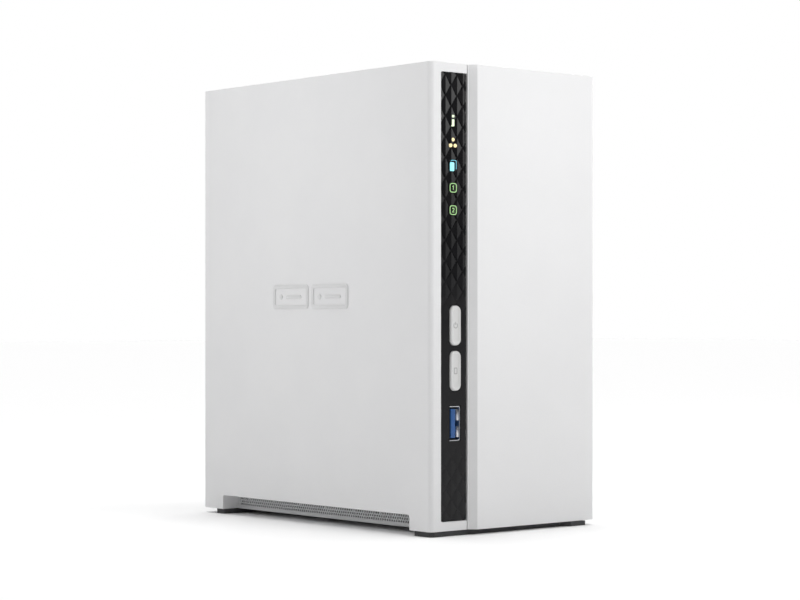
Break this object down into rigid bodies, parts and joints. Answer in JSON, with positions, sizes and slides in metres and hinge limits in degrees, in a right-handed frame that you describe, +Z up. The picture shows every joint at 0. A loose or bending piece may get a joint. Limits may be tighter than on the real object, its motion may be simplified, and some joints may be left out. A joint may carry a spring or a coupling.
{
  "type": "network attached storage",
  "caption": "Upright desktop network storage case with a sliding cover, indicator strip, press buttons, side vents, rear fan and hard drives inside.",
  "frame": {"origin": "bottom centre of the overall box, on the surface that the feet stand on", "axes": "+X to the right seen from the front, +Y from the front panel to the rear, +Z up"},
  "size_m": [0.0902, 0.1562, 0.1886],
  "materials": {
    "case_white": "fine matte texture",
    "cover_white": "fine matte texture",
    "strip_black": "satin black with raised diamonds",
    "window_white_green": "lit window",
    "window_amber": "lit window",
    "window_cyan": "lit window",
    "window_green": "lit window",
    "button_white": "satin",
    "black_plastic": "moulded",
    "lamp": "clear resin",
    "board_green": "solder mask",
    "board_blue": "solder mask",
    "steel_plated": "plated",
    "usb_blue": "moulded",
    "gold_contact": "plated",
    "cable_cream": "flat cable",
    "chip_black": "moulded resin",
    "aluminium_plain": "extruded",
    "aluminium_cast": "cast",
    "aluminium_polished": "mirror",
    "capacitor": "sleeved can",
    "panel_metal": "powder coat",
    "copper_coil": "enamelled wire",
    "socket_cream": "moulded",
    "vent_grey": "moulded",
    "foot_rubber": "matte rubber"
  },
  "bodies": {
    "chassis": {"left_shell": "case_white", "indicator_bezel": "strip_black", "status_window": "window_white_green", "network_window": "window_amber", "copy_window": "window_cyan", "disk_1_window": "window_green", "disk_2_window": "window_green", "front_switches": "black_plastic", "front_lamps": "lamp", "front_board": "board_green", "front_usb_shell": "steel_plated", "front_usb_tongue": "usb_blue", "front_usb_contacts": "gold_contact", "ribbon_cable": "cable_cream", "main_board": "board_green", "processor": "chip_black", "heatsink": "aluminium_plain", "memory_chips": "chip_black", "capacitors": "capacitor", "coin_cell": "steel_plated", "board_screws": "steel_plated", "ethernet_jack": "steel_plated", "ethernet_contacts": "gold_contact", "rear_usb_shells": "steel_plated", "rear_usb_tongues": "black_plastic", "power_inlet": "black_plastic", "power_inlet_pin": "steel_plated", "reset_switch": "black_plastic", "rear_panel": "panel_metal", "rear_panel_screws": "steel_plated", "cover_screws": "steel_plated", "fan_frame": "black_plastic", "fan_motor": "copper_coil", "fan_screws": "steel_plated", "fan_lead": "black_plastic", "drive_cage": "steel_plated", "cage_screws": "steel_plated", "drive_screws": "steel_plated", "backplane_board": "board_green", "backplane_socket": "socket_cream", "drive_sockets": "black_plastic", "drive_1_casting": "aluminium_cast", "drive_1_lid": "aluminium_plain", "drive_1_board": "board_blue", "drive_2_casting": "aluminium_cast", "drive_2_lid": "aluminium_plain", "drive_2_board": "board_blue", "left_vent": "vent_grey", "right_vent": "vent_grey", "front_foot": "foot_rubber", "rear_foot": "foot_rubber"},
    "cover": {"cover_shell": "cover_white"},
    "power_button": {"power_button": "button_white"},
    "copy_button": {"copy_button": "button_white"},
    "reset_button": {"reset_button": "button_white"},
    "fan_rotor": {"fan_rotor": "black_plastic"},
    "drive_1_platters": {"drive_1_platters": "aluminium_polished"},
    "drive_1_arm": {"drive_1_arm": "aluminium_plain"},
    "drive_2_platters": {"drive_2_platters": "aluminium_polished"},
    "drive_2_arm": {"drive_2_arm": "aluminium_plain"}
  },
  "joints": [
    {"name": "cover_slide", "type": "slide", "parent": "chassis", "child": "cover", "axis": [0, -1, 0], "range_m": [0, 0.165]},
    {"name": "power_button_press", "type": "slide", "parent": "chassis", "child": "power_button", "axis": [0, 1, 0], "range_m": [0, 0.0007], "stiffness_N_per_m": 400, "springref_m": -0.0005},
    {"name": "copy_button_press", "type": "slide", "parent": "chassis", "child": "copy_button", "axis": [0, 1, 0], "range_m": [0, 0.0007], "stiffness_N_per_m": 400, "springref_m": -0.0005},
    {"name": "reset_button_press", "type": "slide", "parent": "chassis", "child": "reset_button", "axis": [0, -1, 0], "range_m": [0, 0.0006], "stiffness_N_per_m": 400, "springref_m": -0.0005},
    {"name": "fan_spin", "type": "hinge", "parent": "chassis", "child": "fan_rotor", "pos_m": [0.001, 0.06193, 0.137], "axis": [0, 1, 0], "continuous": true},
    {"name": "drive_1_spin", "type": "hinge", "parent": "chassis", "child": "drive_1_platters", "pos_m": [-0.0039, -0.0177, 0.1233], "axis": [1, 0, 0], "continuous": true},
    {"name": "drive_1_arm_swing", "type": "hinge", "parent": "chassis", "child": "drive_1_arm", "pos_m": [-0.0029, 0.0023, 0.0608], "axis": [-1, 0, 0], "range_deg": [0, 28]},
    {"name": "drive_2_spin", "type": "hinge", "parent": "chassis", "child": "drive_2_platters", "pos_m": [0.0249, -0.0177, 0.1233], "axis": [-1, 0, 0], "continuous": true},
    {"name": "drive_2_arm_swing", "type": "hinge", "parent": "chassis", "child": "drive_2_arm", "pos_m": [0.0239, -0.0377, 0.0608], "axis": [1, 0, 0], "range_deg": [0, 28]}
  ]
}
